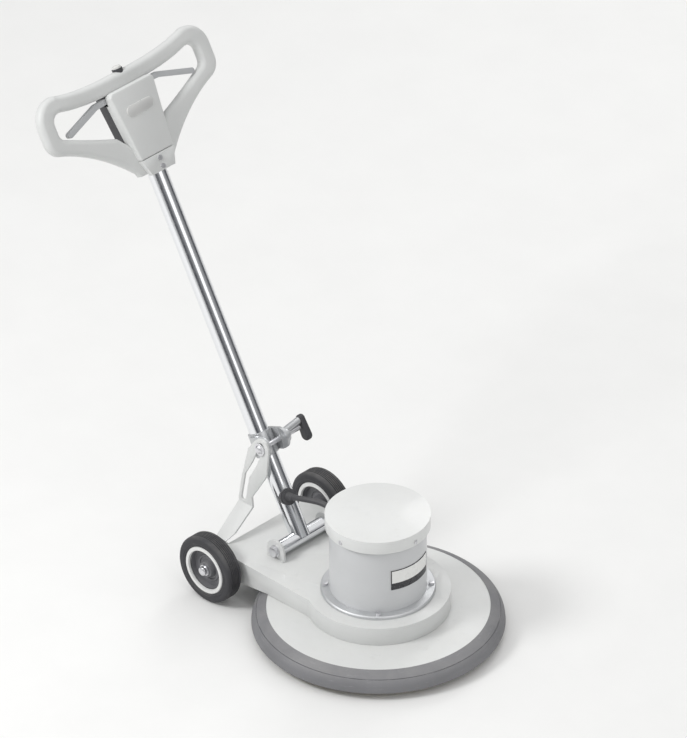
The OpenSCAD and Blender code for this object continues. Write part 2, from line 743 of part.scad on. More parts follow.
// Squeeze bar under the grip, hinged in the console: level at its root, then sloping away
module trigger() color("gray") on_handle() translate([0, trigger_pivot[0], trigger_pivot[1]]) difference() {
  union() {
    x_cylinder(7, -6, 6);
    plate_yz(-6, 6) polygon([
      [0, 6.5], [trigger_knee[0] + 1, trigger_knee[1] + 6.5], [trigger_end[0] + 2, trigger_end[1] + 6.2],
      [trigger_end[0] - 2, trigger_end[1] - 6.2], [trigger_knee[0] - 1, trigger_knee[1] - 6.5], [0, -6.5]
    ]);
    translate([0, trigger_end[0], trigger_end[1]]) x_cylinder(6.5, -6, 6);
  }
  x_cylinder(2.55, -20, 20);
}

module trigger_left() trigger();
module trigger_right() mirror([0, 1, 0]) trigger();

// Turning lever on the clamp bolt: boss, raised rod and flat knob
module clamp_lever() on_handle() translate([hub_x, 0, hub_s]) {
  rod_from = [0, 38, 8];
  rod_to = [0, 94, 15];
  run = rod_to - rod_from;
  color("silver") difference() {
    union() {
      y_cylinder(16, 32.4, 44);
      translate(rod_from) rotate([-atan2(run[1], run[2]), 0, 0]) cylinder(r = 8.5, h = norm(run));
    }
    y_cylinder(bolt_r + 0.05, 30, 43);
    y_cylinder(bolt_r + 2, 43, 86.5);
  }
  color("black") plate_xz(88, 104) polygon(concat(
    arc([0, 16], 10, 170, 10, 8), arc([0, -23], 13, 4, -184, 12)
  ));
}

// ---------- stay ----------

hub_arm = turned_back([hub_x, hub_s], tilt);
foot_from_pivot = [foot_x + pivot_back, foot_z - pivot_z];

// The clamp bolt seen from the stay's foot, in the stay's own turning frame, with the handle lowered by a
function bolt_in_stay(a) = turned_back(turned_back(hub_arm, a) - foot_from_pivot, -stay_ratio * a);
slot_low = [-8, 86];
slot_path = concat(
  [for (i = [0:6]) bolt_in_stay(-raise_deg - 0.6 + (lower_deg + raise_deg + 1.2) * i / 6)], [slot_low]
);

// Slot of half width w along a row of points, with round ends
module slot_cut(points, w, y0, y1) {
  for (i = [0:len(points) - 2]) {
    d = points[i + 1] - points[i];
    translate([points[i][0], y1, points[i][1]]) rotate([0, -atan2(d[1], d[0]), 0])
      translate([0, y0 - y1, -w]) cube([norm(d), y1 - y0, 2 * w]);
  }
  for (p = points) translate([p[0], 0, p[1]]) y_cylinder(w + 0.02, y0, y1);
}

// Side view of the bar, narrow at the foot and wide at the top, and the heights where its sheet is bent
bar_outline = [
  [-13, -3], [-13, 16], [-24, 78], [-13, 141], [8, 224], [31, 255], [41, 264], [53, 267], [64, 263],
  [71, 252], [72, 237], [65, 173], [18, 97], [24, 32], [13, 12], [13, -3]
];
bend_low = 20;
bend_high = 73;

module stay_bar() color("gainsboro") translate([foot_x, 0, foot_z]) difference() {
  half_t = bar_t / 2;
  mitre = bar_t * tan(atan2(bar_y - bar_foot_y, bend_high - bend_low) / 2);
  union() {
    intersection() {
      plate_xz(bar_foot_y - 20, bar_y + 20) polygon(bar_outline);
      plate_yz(-200, 200) polygon([
        [bar_foot_y - half_t, -30], [bar_foot_y - half_t, bend_low], [bar_y - half_t, bend_high],
        [bar_y - half_t, 300], [bar_y + half_t, 300], [bar_y + half_t, bend_high - mitre],
        [bar_foot_y + half_t, bend_low - mitre], [bar_foot_y + half_t, -30]
      ]);
    }
    y_cylinder(foot_r, bar_foot_y - half_t, bar_foot_y + half_t);
  }
  slot_cut(slot_path, bolt_r + 0.5, bar_y - 10, bar_y + 10);
  y_cylinder(stay_pin_r + 0.05, bar_foot_y - 20, bar_foot_y + 20);
}

// ---------- drawing ----------

deck_shroud();
deck_bumper();
deck_bolts();
chassis_platform();
pivot_ears();
stay_bracket();
stay_pin();
wheel_axle();
axle_spacers();
axle_caps();
pivot_bolt();
motor_flange();
flange_bolts();
motor_can();
motor_rating_plate();
lower_end_bell();
upper_end_bell();
stator_core();
stator_windings();
lower_bearing();
upper_bearing();
fan_cover();
fan_cover_screws();
motor_gland();
motor_lead();
motor_shaft();
rotor_core();
cooling_fan();
clutch_plate();
pad_driver();
burnishing_pad();
pad_lock();
tyre_right();
wheel_rim_right();
wheel_dish_right();
tyre_left();
wheel_rim_left();
wheel_dish_left();
handle_tube();
cross_tube();
pivot_bushes();
clamp_bracket();
clamp_bolt();
lead_grommet();
handle_wiring();
grip_frame();
console_front();
console_rear();
console_collar();
console_badge();
head_screws();
main_switch();
trigger_pins();
supply_gland();
button_bezel();
interlock_button();
trigger_right();
trigger_left();
clamp_lever();
stay_bar();
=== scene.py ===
"""The looks of a walk-behind floor burnisher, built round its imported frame.

Lengths are in metres and angles in degrees, unless a line converts them.
"""

import json
import math

import bmesh
import bpy
from mathutils import Matrix, Vector, noise

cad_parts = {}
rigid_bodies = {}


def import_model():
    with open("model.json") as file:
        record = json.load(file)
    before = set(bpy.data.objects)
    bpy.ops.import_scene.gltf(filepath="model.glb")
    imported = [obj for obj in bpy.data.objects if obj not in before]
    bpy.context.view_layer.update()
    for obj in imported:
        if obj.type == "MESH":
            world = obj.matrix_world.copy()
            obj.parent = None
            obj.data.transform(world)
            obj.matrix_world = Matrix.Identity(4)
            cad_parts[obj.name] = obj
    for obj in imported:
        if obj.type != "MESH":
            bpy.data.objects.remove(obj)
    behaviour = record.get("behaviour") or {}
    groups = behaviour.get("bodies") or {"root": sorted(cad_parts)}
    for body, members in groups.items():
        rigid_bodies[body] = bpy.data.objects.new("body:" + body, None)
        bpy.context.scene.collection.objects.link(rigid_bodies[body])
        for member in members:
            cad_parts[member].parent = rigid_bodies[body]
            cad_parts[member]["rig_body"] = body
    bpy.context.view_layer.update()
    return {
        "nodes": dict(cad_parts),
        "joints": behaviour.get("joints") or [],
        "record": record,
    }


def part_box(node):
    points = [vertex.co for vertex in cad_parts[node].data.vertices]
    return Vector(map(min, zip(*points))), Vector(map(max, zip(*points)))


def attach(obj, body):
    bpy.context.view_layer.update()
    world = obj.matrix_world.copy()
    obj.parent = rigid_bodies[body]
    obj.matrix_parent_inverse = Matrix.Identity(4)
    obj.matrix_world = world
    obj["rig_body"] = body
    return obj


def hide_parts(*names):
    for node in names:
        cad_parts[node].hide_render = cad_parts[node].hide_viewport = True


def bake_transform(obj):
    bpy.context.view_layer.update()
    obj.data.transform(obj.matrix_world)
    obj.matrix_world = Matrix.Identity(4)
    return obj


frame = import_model()

JOINTS = {joint["name"]: joint for joint in frame["joints"]}
BASE_COLOUR = {entry["slot"]: entry["base_color"] for entry in frame["record"]["materials"]}
NODE_SLOT = {entry["node"]: entry["material_slot"] for entry in frame["record"]["subparts"]}

# The handle's own frame: x in front of the tube, y to the left, z up along the tube from its pivot
TUBE_UP = -Vector(JOINTS["button_press"]["axis"])
HANDLE_PIVOT = Vector(JOINTS["handle_tilt"]["pos_m"])
HANDLE = Matrix.Translation(HANDLE_PIVOT) @ Matrix((
    (TUBE_UP.z, 0, TUBE_UP.x, 0),
    (0, 1, 0, 0),
    (-TUBE_UP.x, 0, TUBE_UP.z, 0),
    (0, 0, 0, 1),
))


# ---------- camera, light and floor ----------

CAMERA_AZIMUTH = 45.13
CAMERA_ELEVATION = 33.75
CAMERA_ROLL = -0.54
CAMERA_DISTANCE = 25.0
CAMERA_LENS = 554.25
# The point that the camera looks at
CAMERA_AIM = Vector((-0.27442, 0.17189, 0.47251))


def add_camera():
    """A long lens far off, turned a little about the line that it looks along."""
    azimuth = math.radians(CAMERA_AZIMUTH)
    elevation = math.radians(CAMERA_ELEVATION)
    back = Vector((
        math.sin(azimuth) * math.cos(elevation),
        -math.cos(azimuth) * math.cos(elevation),
        math.sin(elevation),
    ))
    level = Vector((math.cos(azimuth), math.sin(azimuth), 0))
    right = Matrix.Rotation(math.radians(CAMERA_ROLL), 3, back) @ level
    up = back.cross(right)
    place = CAMERA_AIM + back * CAMERA_DISTANCE
    camera = bpy.data.objects.new("camera", bpy.data.cameras.new("camera"))
    camera.matrix_world = Matrix((
        (right.x, up.x, back.x, place.x),
        (right.y, up.y, back.y, place.y),
        (right.z, up.z, back.z, place.z),
        (0, 0, 0, 1),
    ))
    camera.data.lens = CAMERA_LENS
    camera.data.sensor_width = 36
    camera.data.clip_end = 200
    bpy.context.scene.collection.objects.link(camera)
    bpy.context.scene.camera = camera


def add_light(name, place, aim, size, power):
    """A round soft light at a place, pointed at its aim."""
    data = bpy.data.lights.new(name, "AREA")
    data.shape = "DISK"
    data.size = size
    data.energy = power
    light = bpy.data.objects.new(name, data)
    light.location = place
    light.rotation_euler = (Vector(aim) - Vector(place)).to_track_quat("-Z", "Y").to_euler()
    bpy.context.scene.collection.objects.link(light)


def add_studio():
    """Key light from the front, a weak fill from the side and a light from behind."""
    middle = (-0.2, 0, 0.4)
    add_light("key", (-1.6, -3.0, 3.4), middle, 1.3, 84)
    add_light("fill", (3.4, -0.6, 2.4), middle, 2.4, 14)
    add_light("rim", (-1.6, 3.2, 2.6), middle, 1.6, 22)
    add_sky()
    bpy.context.scene.view_settings.view_transform = "Standard"


def add_sky():
    """Bright overhead and dark towards the horizon, so that round metal shows its shape."""
    world = bpy.data.worlds.new("studio")
    world.use_nodes = True
    tree = world.node_tree
    place = tree.nodes.new("ShaderNodeTexCoord")
    split = tree.nodes.new("ShaderNodeSeparateXYZ")
    ramp = tree.nodes.new("ShaderNodeValToRGB")
    ramp.color_ramp.elements[0].position = 0.12
    ramp.color_ramp.elements[0].color = (0.10, 0.105, 0.115, 1)
    ramp.color_ramp.elements[1].position = 0.62
    ramp.color_ramp.elements[1].color = (1.0, 1.0, 1.0, 1)
    tree.links.new(place.outputs["Generated"], split.inputs[0])
    tree.links.new(split.outputs["Z"], ramp.inputs[0])
    tree.links.new(ramp.outputs["Color"], tree.nodes["Background"].inputs["Color"])
    tree.nodes["Background"].inputs["Strength"].default_value = 0.85
    bpy.context.scene.world = world


def add_floor():
    """A large plain floor, a hair below the wheels and the pad."""
    half = 40
    corners = [(-half, -half, 0), (half, -half, 0), (half, half, 0), (-half, half, 0)]
    mesh = bpy.data.meshes.new("floor")
    mesh.from_pydata(corners, [], [(0, 1, 2, 3)])
    floor = bpy.data.objects.new("floor", mesh)
    floor.location.z = -0.0005
    bpy.context.scene.collection.objects.link(floor)
    floor.data.materials.append(surface("floor_finish", (0.86, 0.86, 0.85), spread=0.012, rough=(0.55, 0.65)))


# ---------- materials ----------

STEEL_EDGE = (0.55, 0.55, 0.56)
WORN_EDGE_WIDTH = 0.0009
HOUSE_DUST = (0.62, 0.60, 0.56, 1)
LABEL_INK = (0.03, 0.03, 0.035, 1)


class Shader:
    """A Principled material and short ways to add the nodes that feed it."""

    def __init__(self, name):
        self.material = bpy.data.materials.new(name)
        self.material.use_nodes = True
        self.tree = self.material.node_tree
        self.main = self.tree.nodes["Principled BSDF"]
        self.place = self.add("ShaderNodeTexCoord").outputs["Object"]

    def add(self, kind, **settings):
        node = self.tree.nodes.new(kind)
        for key, value in settings.items():
            setattr(node, key, value)
        return node

    def feed(self, socket, value):
        if isinstance(value, bpy.types.NodeSocket):
            self.tree.links.new(value, socket)
        else:
            socket.default_value = value

    def stretched(self, scale):
        node = self.add("ShaderNodeMapping")
        self.feed(node.inputs["Vector"], self.place)
        node.inputs["Scale"].default_value = scale
        return node.outputs[0]

    def noise(self, scale, detail=4.0, place=None, roughness=0.55):
        node = self.add("ShaderNodeTexNoise")
        self.feed(node.inputs["Vector"], place or self.place)
        node.inputs["Scale"].default_value = scale
        node.inputs["Detail"].default_value = detail
        node.inputs["Roughness"].default_value = roughness
        return node.outputs["Fac"]

    def cells(self, scale):
        node = self.add("ShaderNodeTexVoronoi")
        self.feed(node.inputs["Vector"], self.place)
        node.inputs["Scale"].default_value = scale
        return node.outputs["Distance"]

    def ramp(self, value, low, high, to_low=0.0, to_high=1.0):
        """Maps low..high onto to_low..to_high and holds the ends."""
        node = self.add("ShaderNodeMapRange")
        self.feed(node.inputs["Value"], value)
        for socket, number in zip(("From Min", "From Max", "To Min", "To Max"), (low, high, to_low, to_high)):
            node.inputs[socket].default_value = number
        return node.outputs[0]

    def math(self, operation, a, b=0.0):
        node = self.add("ShaderNodeMath", operation=operation)
        self.feed(node.inputs[0], a)
        self.feed(node.inputs[1], b)
        return node.outputs[0]

    def mix(self, share, a, b):
        node = self.add("ShaderNodeMix", data_type="RGBA")
        self.feed(node.inputs["Factor"], share)
        self.feed(node.inputs["A"], a)
        self.feed(node.inputs["B"], b)
        return node.outputs["Result"]

    def bump(self, height, depth, under=None):
        node = self.add("ShaderNodeBump")
        self.feed(node.inputs["Height"], height)
        node.inputs["Distance"].default_value = depth
        if under is not None:
            self.feed(node.inputs["Normal"], under)
        return node.outputs[0]

    def edges(self):
        """1 along sharp edges, broken up so that only the rubbed stretches show."""
        turned = self.add("ShaderNodeBevel", samples=4)
        turned.inputs["Radius"].default_value = WORN_EDGE_WIDTH
        alike = self.add("ShaderNodeVectorMath", operation="DOT_PRODUCT")
        self.feed(alike.inputs[0], turned.outputs[0])
        self.feed(alike.inputs[1], self.add("ShaderNodeNewGeometry").outputs["Normal"])
        edge = self.ramp(alike.outputs["Value"], 0.985, 0.93)
        return self.math("MULTIPLY", edge, self.ramp(self.noise(38, 6), 0.50, 0.66))

    def facing_up(self):
        """1 on faces that look straight up, falling to 0 on steep ones."""
        split = self.add("ShaderNodeSeparateXYZ")
        self.feed(split.inputs[0], self.add("ShaderNodeNewGeometry").outputs["Normal"])
        return self.ramp(split.outputs["Z"], 0.3, 1.0)

    def height(self):
        split = self.add("ShaderNodeSeparateXYZ")
        self.feed(split.inputs[0], self.place)
        return split.outputs["Z"]


def shade(colour, factor):
    """A colour made lighter or darker by a factor, with its alpha."""
    return tuple(min(1.0, channel * factor) for channel in colour[:3]) + (1.0,)


def surface(name, colour, spread=0.05, rough=(0.35, 0.5), metallic=0.0, grain=900, depth=0.00002,
            stretch=None, worn=None, dust=0.0, scuff=0.0, coat=0.0):
    """Blotchy colour, uneven gloss, fine grain in relief, scuffs, rubbed edges, and dust on upper faces."""
    s = Shader(name)
    blotches = s.ramp(s.noise(6, 6), 0.3, 0.7)
    tone = s.mix(blotches, shade(colour, 1 - spread), shade(colour, 1 + spread))
    specks = s.ramp(s.noise(420, 3), 0.62, 0.75)
    tone = s.mix(s.math("MULTIPLY", specks, 0.25), tone, shade(colour, 1 - 3 * spread))
    gloss = s.ramp(s.noise(28, 8, roughness=0.7), 0.3, 0.7, *rough)
    if scuff:
        streaks = s.ramp(s.noise(26, 8, s.stretched((1, 1, 9)), 0.7), 0.58, 0.72, 0.0, scuff)
        scratched = shade(colour, 1.7) if max(colour[:3]) < 0.4 else shade(colour, 0.62)
        tone = s.mix(streaks, tone, scratched)
        gloss = s.math("ADD", gloss, s.math("MULTIPLY", streaks, 0.18))
    if worn is not None:
        tone = s.mix(s.edges(), tone, shade(worn, 1))
    if dust:
        patches = s.ramp(s.noise(11, 7, roughness=0.65), 0.35, 0.75, 0.0, dust)
        settled = s.math("MULTIPLY", s.facing_up(), patches)
        tone = s.mix(settled, tone, HOUSE_DUST)
        gloss = s.math("ADD", gloss, s.math("MULTIPLY", settled, 0.4))
    s.feed(s.main.inputs["Base Color"], tone)
    s.feed(s.main.inputs["Roughness"], gloss)
    place = s.stretched(stretch) if stretch else None
    relief = s.bump(s.noise(grain, 3, place), depth)
    relief = s.bump(s.noise(60, 5), depth * 2.5, relief)
    s.feed(s.main.inputs["Normal"], relief)
    s.main.inputs["Metallic"].default_value = metallic
    s.main.inputs["Coat Weight"].default_value = coat
    s.main.inputs["Coat Roughness"].default_value = 0.12
    return s.material


def moulded(name, colour, rough=(0.42, 0.56), cell=1500, depth=0.00003):
    """Plastic from an etched mould: small pebbles in relief, uneven gloss and darker edges."""
    s = Shader(name)
    tone = s.mix(s.ramp(s.noise(9, 6), 0.3, 0.7), shade(colour, 0.96), shade(colour, 1.03))
    tone = s.mix(s.edges(), tone, shade(colour, 0.84))
    s.feed(s.main.inputs["Base Color"], tone)
    s.feed(s.main.inputs["Roughness"], s.ramp(s.noise(18, 7, roughness=0.7), 0.3, 0.7, *rough))
    s.feed(s.main.inputs["Normal"], s.bump(s.noise(240, 4), depth, s.bump(s.cells(cell), depth)))
    return s.material


def fibre(name, colour):
    """Open non-woven fibre: matted strands in two directions, with the gaps between them darkened as painted
    shade.
    """
    s = Shader(name)
    along_x = s.noise(260, 5, s.stretched((1, 5, 3)))
    along_y = s.noise(260, 5, s.stretched((5, 1, 3)))
    strands = s.math("MULTIPLY", along_x, along_y)
    # Painted shade: the gaps between strands are darkened as if they lay in shade, though the fibre is one
    # colour.
    gap_shade = s.ramp(strands, 0.14, 0.34)
    tone = s.mix(gap_shade, shade(colour, 0.35), shade(colour, 1.1))
    tone = s.mix(s.ramp(s.noise(12, 6), 0.45, 0.75, 0, 0.5), tone, shade(colour, 0.55))
    s.feed(s.main.inputs["Base Color"], tone)
    s.feed(s.main.inputs["Normal"], s.bump(strands, 0.002))
    s.main.inputs["Roughness"].default_value = 0.95
    s.main.inputs["Sheen Weight"].default_value = 0.25
    return s.material


def laminated(name, colour):
    """Stacked sheet steel: thin lines one sheet apart up the stack."""
    s = Shader(name)
    sheet = 0.0007
    line = s.math("PINGPONG", s.height(), sheet)
    tone = s.mix(s.ramp(line, 0, sheet * 0.4), shade(colour, 0.4), shade(colour, 1.1))
    s.feed(s.main.inputs["Base Color"], tone)
    s.feed(s.main.inputs["Roughness"], s.ramp(s.noise(70, 5), 0.3, 0.7, 0.35, 0.55))
    s.feed(s.main.inputs["Normal"], s.bump(line, 0.0002))
    s.main.inputs["Metallic"].default_value = 0.9
    return s.material


def wound(name, colour):
    """Enamelled wire laid in turns, with lacquer over it, and painted shade in the creases between turns."""
    s = Shader(name)
    wire = 0.0009
    turns = s.math("PINGPONG", s.height(), wire)
    # Painted shade: each turn darkens towards the crease beside the next one, where shade falls.
    tone = s.mix(s.ramp(turns, 0, wire), shade(colour, 0.35), shade(colour, 1.15))
    s.feed(s.main.inputs["Base Color"], tone)
    s.feed(s.main.inputs["Normal"], s.bump(turns, 0.0006))
    s.feed(s.main.inputs["Roughness"], s.ramp(s.noise(90, 4), 0.3, 0.7, 0.25, 0.4))
    s.main.inputs["Metallic"].default_value = 0.8
    s.main.inputs["Coat Weight"].default_value = 0.6
    return s.material


def rating_label(name, colour):
    """Blank rating label: pale field, dark lower band and a thin dark frame, on a curved plate."""
    s = Shader(name)
    low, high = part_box("motor_rating_plate")
    tall = high.z - low.z
    field_half_turn = math.radians(29)
    field_top = high.z - 0.03 * tall
    band_top = low.z + 0.34 * tall
    split = s.add("ShaderNodeSeparateXYZ")
    s.feed(split.inputs[0], s.place)
    turn = s.math("ABSOLUTE", s.math("ARCTAN2", split.outputs["Y"], split.outputs["X"]))
    side_edge = s.math("GREATER_THAN", turn, field_half_turn)
    top_edge = s.math("GREATER_THAN", split.outputs["Z"], field_top)
    band = s.math("LESS_THAN", split.outputs["Z"], band_top)
    dark = s.math("MAXIMUM", s.math("MAXIMUM", side_edge, top_edge), band)
    scuffs = s.ramp(s.noise(160, 6, s.stretched((1, 1, 6))), 0.62, 0.72, 0, 0.35)
    tone = s.mix(dark, shade(colour, 1), LABEL_INK)
    tone = s.mix(scuffs, tone, shade(colour, 0.7))
    s.feed(s.main.inputs["Base Color"], tone)
    s.feed(s.main.inputs["Roughness"], s.ramp(s.noise(40, 6), 0.3, 0.7, 0.22, 0.4))
    s.feed(s.main.inputs["Normal"], s.bump(s.noise(300, 3), 0.00001))
    return s.material


def style(maker, factor=1.0, **settings):
    """A way to make one finish from its base colour, taken down by a factor."""
    return lambda name, colour: maker(name, shade(colour, factor), **settings)


STYLES = {
    "pale_paint": style(surface, 0.88, spread=0.04, rough=(0.3, 0.45), worn=STEEL_EDGE,
                        dust=0.18, scuff=0.22, coat=0.15),
    "motor_paint": style(surface, 0.9, spread=0.04, rough=(0.28, 0.42), grain=700, worn=STEEL_EDGE,
                         scuff=0.12, coat=0.2),
    "cover_paint": style(surface, 0.92, spread=0.04, rough=(0.26, 0.4), grain=500, depth=0.00003,
                         dust=0.16, scuff=0.12, coat=0.25),
    "dish_paint": style(surface, spread=0.08, rough=(0.3, 0.48), worn=STEEL_EDGE, dust=0.12, coat=0.1),
    "bumper_rubber": style(surface, spread=0.10, rough=(0.5, 0.7), grain=650, depth=0.00005,
                           worn=shade(BASE_COLOUR["bumper_rubber"], 2.0), dust=0.2, scuff=0.5),
    "tyre_rubber": style(surface, spread=0.18, rough=(0.58, 0.78), grain=700, depth=0.00006,
                         worn=(0.12, 0.115, 0.11), dust=0.25, scuff=0.5),
    "lead_rubber": style(surface, spread=0.14, rough=(0.45, 0.62), grain=1100, depth=0.00003, dust=0.10),
    "zinc_steel": style(surface, spread=0.10, rough=(0.25, 0.45), metallic=0.95, grain=800),
    "ground_steel": style(surface, spread=0.06, rough=(0.2, 0.34), metallic=1.0, grain=500,
                          stretch=(1, 1, 14)),
    "clamp_steel": style(surface, spread=0.05, rough=(0.32, 0.48), metallic=0.75, grain=600, depth=0.00004,
                         worn=(0.75, 0.75, 0.76)),
    "tube_chrome": style(surface, spread=0.03, rough=(0.07, 0.2), metallic=1.0, grain=350, depth=0.000004),
    "cast_aluminium": style(surface, spread=0.07, rough=(0.42, 0.6), metallic=0.85, grain=420, depth=0.00008),
    "label_film": style(surface, spread=0.03, rough=(0.24, 0.4), metallic=0.6, depth=0.00001,
                        stretch=(1, 14, 1)),
    "core_steel": style(laminated),
    "copper_wire": style(wound),
    "pad_fibre": style(fibre),
    "head_plastic": style(moulded, 0.88),
    "black_plastic": style(moulded),
    "bush_nylon": style(moulded),
    "driver_plastic": style(moulded, rough=(0.5, 0.65), cell=900, depth=0.00006),
    "lock_plastic": style(moulded, rough=(0.25, 0.4)),
    "rim_plastic": style(moulded, rough=(0.28, 0.42), cell=1200, depth=0.00002),
    "trigger_plastic": style(moulded, rough=(0.35, 0.5)),
    "button_plastic": style(moulded, rough=(0.22, 0.34), cell=1800, depth=0.00001),
}
MATERIALS = {slot: make("finish_" + slot, BASE_COLOUR[slot]) for slot, make in STYLES.items()}


def paint_cad_nodes():
    """Gives every CAD node the finish of its slot, and the rating plate a label of its own."""
    for name, node in frame["nodes"].items():
        node.data.materials.clear()
        node.data.materials.append(MATERIALS[NODE_SLOT[name]])
    plate = frame["nodes"]["motor_rating_plate"]
    plate.data.materials[0] = rating_label("finish_rating_label", BASE_COLOUR["label_film"])


# ---------- ways to make a piece ----------

SHARP_ANGLE = 35
ROUNDED_ANGLE = 34
ROUNDING_STEPS = 3


def smooth(mesh, sharp):
    """Smooth shading, but for edges where the faces turn by more than the sharp angle."""
    mesh.polygons.foreach_set("use_smooth", [True] * len(mesh.polygons))
    mesh.set_sharp_from_angle(angle=math.radians(sharp))


def make_piece(name, bm, place=Matrix.Identity(4), sharp=SHARP_ANGLE):
    """Turns a bmesh, drawn in the frame of place, into an object in the part's own frame."""
    bmesh.ops.transform(bm, matrix=place, verts=bm.verts)
    bmesh.ops.recalc_face_normals(bm, faces=bm.faces)
    mesh = bpy.data.meshes.new(name)
    bm.to_mesh(mesh)
    bm.free()
    smooth(mesh, sharp)
    piece = bpy.data.objects.new(name, mesh)
    bpy.context.scene.collection.objects.link(piece)
    return piece


def baked_mesh(thing):
    """A new mesh of an object as its modifiers or its curve settings shape it."""
    return bpy.data.meshes.new_from_object(thing.evaluated_get(bpy.context.evaluated_depsgraph_get()))


def settle(piece):
    """Bakes a piece's modifiers into its mesh."""
    mesh = baked_mesh(piece)
    piece.modifiers.clear()
    piece.data = mesh
    smooth(mesh, SHARP_ANGLE)


def fit(piece, body, slot, *nodes):
    """Gives a piece its finish, its body and the CAD nodes that it stands for."""
    piece.data.materials.clear()
    piece.data.materials.append(MATERIALS[slot])
    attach(piece, body)
    if nodes:
        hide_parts(*nodes)
    return piece


def cad_copy(node):
    """The CAD node's shape as a clean bmesh with whole flat faces."""
    bm = bmesh.new()
    bm.from_mesh(frame["nodes"][node].data)
    bmesh.ops.remove_doubles(bm, verts=bm.verts, dist=0.000002)
    bmesh.ops.dissolve_limit(bm, angle_limit=math.radians(0.6), verts=bm.verts, edges=bm.edges)
    return bm


def round_edges(piece, width):
    bevel = piece.modifiers.new("rounding", "BEVEL")
    bevel.width = width
    bevel.segments = ROUNDING_STEPS
    bevel.limit_method = "ANGLE"
    bevel.angle_limit = math.radians(ROUNDED_ANGLE)
    settle(piece)


def add_rounded(node, width):
    """The CAD node again, with its sharp edges rounded."""
    piece = make_piece(node + ".rounded", cad_copy(node))
    round_edges(piece, width)
    fit(piece, frame["nodes"][node]["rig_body"], NODE_SLOT[node], node)


def cut(piece, low, high, place):
    """Takes a box out of a piece; the box is given in the frame of place."""
    bm = bmesh.new()
    size = Vector(high) - Vector(low)
    bmesh.ops.create_cube(bm, size=1)
    centre = (Vector(low) + Vector(high)) / 2
    bmesh.ops.transform(bm, matrix=Matrix.Translation(centre) @ Matrix.Diagonal((*size, 1)), verts=bm.verts)
    take_away(piece, make_piece("cutter", bm, place))


def take_away(piece, cutter):
    """Cuts the cutter's shape out of a piece and deletes the cutter."""
    boolean = piece.modifiers.new("cut", "BOOLEAN")
    boolean.operation = "DIFFERENCE"
    boolean.solver = "EXACT"
    boolean.object = cutter
    settle(piece)
    bpy.data.objects.remove(cutter)


def prism(outline, x0, x1):
    """A flat outline in (y, z), made solid from x0 to x1."""
    bm = bmesh.new()
    face = bm.faces.new([bm.verts.new((x0, y, z)) for y, z in outline])
    grown = bmesh.ops.extrude_face_region(bm, geom=[face])
    moved = [item for item in grown["geom"] if isinstance(item, bmesh.types.BMVert)]
    bmesh.ops.translate(bm, vec=(x1 - x0, 0, 0), verts=moved)
    return bm


def in_order(bm):
    """The same bmesh with its points and faces in an order that only their places decide."""
    points = sorted(bm.verts, key=lambda vert: tuple(round(c, 6) for c in vert.co))
    number = {vert: i for i, vert in enumerate(points)}
    loops = []
    for face in bm.faces:
        loop = [number[vert] for vert in face.verts]
        start = loop.index(min(loop))
        loops.append(loop[start:] + loop[:start])
    ordered = bmesh.new()
    verts = [ordered.verts.new(vert.co) for vert in points]
    for loop in sorted(loops):
        ordered.faces.new([verts[i] for i in loop])
    bm.free()
    return ordered


def loft(rings):
    """A bmesh with flat ends, skinned over rings that hold the same number of points."""
    bm = bmesh.new()
    rings = [[bm.verts.new(point) for point in ring] for ring in rings]
    for here, there in zip(rings, rings[1:]):
        for k in range(len(here)):
            n = (k + 1) % len(here)
            bm.faces.new((here[k], there[k], there[n], here[n]))
    bm.faces.new(rings[0])
    bm.faces.new(rings[-1])
    return bm


def lathe(profile, steps, closed=True):
    """Turns a profile of (radius, height) points about the Z axis."""
    bm = bmesh.new()
    rings = []
    for i in range(steps):
        turn = 2 * math.pi * i / steps
        rings.append([bm.verts.new((r * math.cos(turn), r * math.sin(turn), h)) for r, h in profile])
    count = len(profile)
    for i in range(steps):
        here, there = rings[i], rings[(i + 1) % steps]
        for k in range(count if closed else count - 1):
            n = (k + 1) % count
            bm.faces.new((here[k], there[k], there[n], here[n]))
    bmesh.ops.remove_doubles(bm, verts=bm.verts, dist=0.000001)
    return bm


def arc(centre, radius, start, end, steps):
    """Points along a circle from one angle to another."""
    turns = [math.radians(start + (end - start) * i / steps) for i in range(steps + 1)]
    return [(centre[0] + radius * math.cos(t), centre[1] + radius * math.sin(t)) for t in turns]


def bezier(a, b, c, steps):
    """Points along a curve from a to c that leans towards b."""
    shares = [i / steps for i in range(steps + 1)]
    return [
        tuple(p * (1 - t) ** 2 + q * 2 * t * (1 - t) + r * t * t for p, q, r in zip(a, b, c))
        for t in shares
    ]


def smooth_route(points, per_span):
    """Points along a smooth curve through all the given ones."""
    pts = [Vector(p) for p in points]
    pts = [2 * pts[0] - pts[1]] + pts + [2 * pts[-1] - pts[-2]]
    route = []
    for a, b, c, d in zip(pts, pts[1:], pts[2:], pts[3:]):
        for i in range(per_span):
            t = i / per_span
            route.append(0.5 * (2 * b + (c - a) * t + (2 * a - 5 * b + 4 * c - d) * t ** 2
                                + (3 * b - a - 3 * c + d) * t ** 3))
    return route + [pts[-2]]


def tube(route, radii, sides=24):
    """A round tube along a route, with a radius at each point and flat ends."""
    rings = []
    across = (route[1] - route[0]).cross(Vector((0, 0, 1))).normalized()
    for i, (point, radius) in enumerate(zip(route, radii)):
        heading = (route[min(i + 1, len(route) - 1)] - route[max(i - 1, 0)]).normalized()
        across = (across - heading * across.dot(heading)).normalized()
        over = heading.cross(across)
        turns = [2 * math.pi * k / sides for k in range(sides)]
        rings.append([point + radius * (across * math.cos(t) + over * math.sin(t)) for t in turns])
    return loft(rings)


# ---------- deck and chassis ----------


